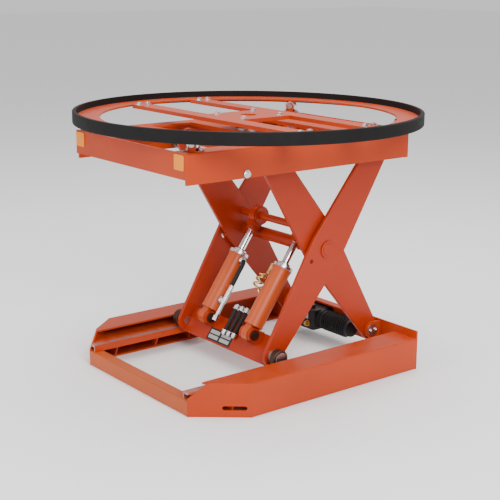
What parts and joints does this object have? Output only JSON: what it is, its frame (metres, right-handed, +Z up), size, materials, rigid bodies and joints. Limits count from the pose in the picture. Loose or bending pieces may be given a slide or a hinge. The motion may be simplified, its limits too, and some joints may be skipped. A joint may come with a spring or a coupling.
{
  "type": "pallet positioner",
  "caption": "Scissor-lift pallet positioner: floor frame, crossed legs with twin hydraulic cylinders, table frame and a rotating ring on top.",
  "frame": {"origin": "on the floor under the middle of the turntable ring", "axes": "+Z up, +X towards the end with the fixed hinge pins, -X towards the end the leg wheels run at"},
  "size_m": [1.1098, 1.11, 0.846],
  "materials": {
    "orange_paint": "gloss",
    "black_paint": "satin",
    "black_rubber": "matte",
    "bright_chrome": "mirror",
    "bare_steel": "satin",
    "wheel_steel": "satin",
    "brass": "satin",
    "yellow_marker": "matte"
  },
  "bodies": {
    "base": {"base_side_right": "orange_paint", "base_side_left": "orange_paint", "front_bar": "orange_paint", "front_corners": "orange_paint", "rear_plate": "orange_paint", "lower_tracks": "orange_paint", "base_hinge_brackets": "orange_paint", "base_hinge_pins": "bare_steel", "oil_tank": "black_paint", "pump_motor": "black_paint"},
    "inner_legs": {"inner_leg_right": "orange_paint", "inner_leg_left": "orange_paint", "inner_leg_tube": "orange_paint", "rod_shaft": "bare_steel", "upper_roller_shaft": "bare_steel", "centre_pins": "bare_steel", "centre_pin_rings": "bare_steel", "inner_leg_bushes": "brass"},
    "outer_legs": {"outer_leg_right": "orange_paint", "outer_leg_left": "orange_paint", "cross_plate": "orange_paint", "barrel_lugs": "orange_paint", "barrel_pins": "bare_steel", "lower_roller_stubs": "bare_steel", "outer_leg_bushes": "brass", "lock_pin": "bare_steel"},
    "table": {"table_side_right": "orange_paint", "table_side_left": "orange_paint", "table_ends": "orange_paint", "table_straps": "orange_paint", "upper_tracks": "orange_paint", "table_hinge_brackets": "orange_paint", "table_hinge_pins": "bare_steel", "kingpin": "bare_steel", "corner_markers": "yellow_marker", "support_brackets": "orange_paint", "support_axles": "bare_steel"},
    "ring": {"ring_rim": "black_paint", "ring_flange": "orange_paint", "ring_bars": "orange_paint", "ring_hub": "orange_paint"},
    "lower_wheel_right": {"lower_roller_right": "wheel_steel"},
    "lower_wheel_left": {"lower_roller_left": "wheel_steel"},
    "upper_wheel_right": {"upper_roller_right": "wheel_steel"},
    "upper_wheel_left": {"upper_roller_left": "wheel_steel"},
    "cylinder_right": {"barrel_right": "orange_paint", "gland_right": "bare_steel", "elbow_right": "brass"},
    "cylinder_left": {"barrel_left": "orange_paint", "gland_left": "bare_steel", "elbow_left": "bare_steel", "hose_left": "black_rubber"},
    "piston_right": {"rod_right": "bright_chrome", "rod_eye_right": "orange_paint"},
    "piston_left": {"rod_left": "bright_chrome", "rod_eye_left": "orange_paint"},
    "support_wheel_1": {"support_roller_1": "wheel_steel"},
    "support_wheel_2": {"support_roller_2": "wheel_steel"},
    "support_wheel_3": {"support_roller_3": "wheel_steel"},
    "support_wheel_4": {"support_roller_4": "wheel_steel"}
  },
  "joints": [
    {"name": "lift", "type": "hinge", "parent": "base", "child": "inner_legs", "pos_m": [0.352, 0, 0.1], "axis": [0, 1, 0], "range_deg": [-48, 3]},
    {"name": "scissor", "type": "hinge", "parent": "inner_legs", "child": "outer_legs", "pos_m": [0.13404, 0, 0.41128], "axis": [0, 1, 0], "range_deg": [-6.1, 96.1]},
    {"name": "table_level", "type": "hinge", "parent": "outer_legs", "child": "table", "pos_m": [0.352, 0, 0.72256], "axis": [0, 1, 0], "range_deg": [-48.1, 3.1]},
    {"name": "turntable", "type": "hinge", "parent": "table", "child": "ring", "pos_m": [0, 0, 0.8], "axis": [0, 0, 1], "continuous": true},
    {"name": "support_wheel_1_axle", "type": "hinge", "parent": "table", "child": "support_wheel_1", "pos_m": [0.40623, 0.274, 0.8017], "axis": [0.829, 0.5592, 0], "continuous": true},
    {"name": "support_wheel_2_axle", "type": "hinge", "parent": "table", "child": "support_wheel_2", "pos_m": [-0.40623, 0.274, 0.8017], "axis": [-0.829, 0.5592, 0], "continuous": true},
    {"name": "support_wheel_3_axle", "type": "hinge", "parent": "table", "child": "support_wheel_3", "pos_m": [-0.40623, -0.274, 0.8017], "axis": [-0.829, -0.5592, 0], "continuous": true},
    {"name": "support_wheel_4_axle", "type": "hinge", "parent": "table", "child": "support_wheel_4", "pos_m": [0.40623, -0.274, 0.8017], "axis": [0.829, -0.5592, 0], "continuous": true},
    {"name": "lower_wheel_right_axle", "type": "hinge", "parent": "outer_legs", "child": "lower_wheel_right", "pos_m": [-0.08392, -0.266, 0.1], "axis": [0, 1, 0], "continuous": true},
    {"name": "lower_wheel_left_axle", "type": "hinge", "parent": "outer_legs", "child": "lower_wheel_left", "pos_m": [-0.08392, 0.266, 0.1], "axis": [0, 1, 0], "continuous": true},
    {"name": "upper_wheel_right_axle", "type": "hinge", "parent": "inner_legs", "child": "upper_wheel_right", "pos_m": [-0.08392, -0.266, 0.72256], "axis": [0, 1, 0], "continuous": true},
    {"name": "upper_wheel_left_axle", "type": "hinge", "parent": "inner_legs", "child": "upper_wheel_left", "pos_m": [-0.08392, 0.266, 0.72256], "axis": [0, 1, 0], "continuous": true},
    {"name": "cylinder_right_pivot", "type": "hinge", "parent": "outer_legs", "child": "cylinder_right", "pos_m": [-0.08307, -0.117, 0.14316], "axis": [0, 1, 0], "range_deg": [-4.7, 0.5]},
    {"name": "piston_right_slide", "type": "slide", "parent": "cylinder_right", "child": "piston_right", "axis": [0.57, 0, 0.8216], "range_m": [-0.0705, 0.005]},
    {"name": "cylinder_left_pivot", "type": "hinge", "parent": "outer_legs", "child": "cylinder_left", "pos_m": [-0.08307, 0.117, 0.14316], "axis": [0, 1, 0], "range_deg": [-4.7, 0.5]},
    {"name": "piston_left_slide", "type": "slide", "parent": "cylinder_left", "child": "piston_left", "axis": [0.57, 0, 0.8216], "range_m": [-0.0705, 0.005]}
  ],
  "couplings": [
    {"joint": "scissor", "follows": "lift", "ratio": -2},
    {"joint": "table_level", "follows": "lift", "ratio": 1},
    {"joint": "cylinder_right_pivot", "follows": "lift", "ratio": 0.09306},
    {"joint": "piston_right_slide", "follows": "lift", "m_per_rad": 0.083413},
    {"joint": "cylinder_left_pivot", "follows": "lift", "ratio": 0.09306},
    {"joint": "piston_left_slide", "follows": "lift", "m_per_rad": 0.083413},
    {"joint": "support_wheel_1_axle", "follows": "turntable", "ratio": -27.222},
    {"joint": "support_wheel_2_axle", "follows": "turntable", "ratio": -27.222},
    {"joint": "support_wheel_3_axle", "follows": "turntable", "ratio": -27.222},
    {"joint": "support_wheel_4_axle", "follows": "turntable", "ratio": -27.222}
  ]
}
